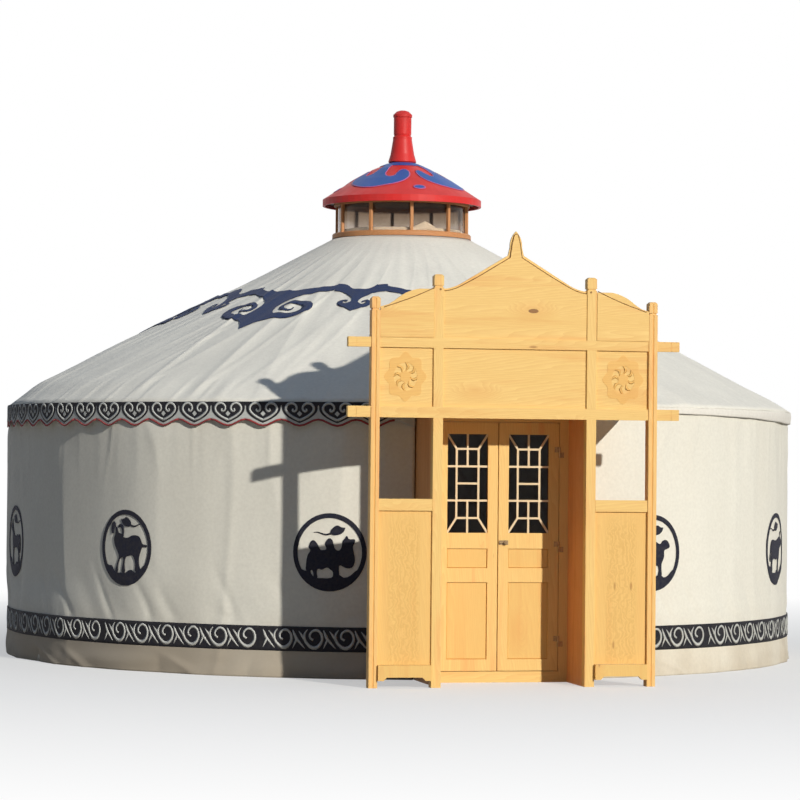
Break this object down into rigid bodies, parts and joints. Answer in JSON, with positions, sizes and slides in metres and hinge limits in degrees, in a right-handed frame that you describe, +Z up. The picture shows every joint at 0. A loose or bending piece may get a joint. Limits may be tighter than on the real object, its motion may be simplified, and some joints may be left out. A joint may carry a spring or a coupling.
{
  "type": "yurt",
  "caption": "Round felt yurt with a conical canvas roof, a glazed crown lantern under a painted cap, and a timber porch screen with a glazed double door.",
  "frame": {"origin": "on the ground at the middle of the round room, on the roof's vertical axis", "axes": "+Z up; -Y towards the porch and door; +X to the right of someone who faces the door"},
  "size_m": [7.0513, 7.8553, 4.916],
  "materials": {
    "canvas": "matt woven cream canvas over felt",
    "patterned_cloth": "matt navy cloth with a pale scroll border",
    "glass": "plain sheet",
    "iron": "dark, slightly worn",
    "red_paint": "satin red paint",
    "stained_wood": "orange-brown stain, satin",
    "painted_bars": "pale cream paint",
    "lath_wood": "bare willow laths and poles",
    "pine": "golden pine under clear varnish"
  },
  "bodies": {
    "tent": {"bay_aprons": "pine", "bay_panels": "pine", "bay_rails": "pine", "cap_finial": "red_paint", "cap_soffit": "stained_wood", "crown_hub": "stained_wood", "crown_ring": "stained_wood", "crown_spokes": "stained_wood", "door_jambs": "pine", "door_lintel": "pine", "eave_hem": "canvas", "eave_valance": "patterned_cloth", "frieze_boards": "pine", "gable_boards": "pine", "ground_skirt": "canvas", "inner_posts": "pine", "jamb_hinges": "iron", "lantern_cap": "red_paint", "lantern_glass": "glass", "lantern_head_ring": "stained_wood", "lantern_posts": "stained_wood", "lantern_sill": "stained_wood", "lattice_inner_laths": "lath_wood", "lattice_outer_laths": "lath_wood", "lower_beam": "pine", "outer_posts": "pine", "passage_walls": "pine", "porch_ceiling": "pine", "roof_cover_1": "canvas", "roof_cover_2": "canvas", "roof_poles": "lath_wood", "threshold": "pine", "upper_beam": "pine", "wall_cover_1": "canvas", "wall_cover_2": "canvas", "wall_cover_3": "canvas", "wall_cover_4": "canvas"},
    "left_leaf": {"left_door": "pine", "left_door_bars": "painted_bars", "left_door_glass": "glass", "left_door_hinges": "iron", "left_door_panels": "pine"},
    "right_leaf": {"door_latch": "iron", "right_door": "pine", "right_door_bars": "painted_bars", "right_door_glass": "glass", "right_door_hinges": "iron", "right_door_panels": "pine"}
  },
  "joints": [
    {"name": "left_door_hinge", "type": "hinge", "parent": "tent", "child": "left_leaf", "pos_m": [-0.492, -3.778, 1], "axis": [0, 0, -1], "range_deg": [0, 90]},
    {"name": "right_door_hinge", "type": "hinge", "parent": "tent", "child": "right_leaf", "pos_m": [0.492, -3.778, 1], "axis": [0, 0, 1], "range_deg": [0, 90]}
  ]
}
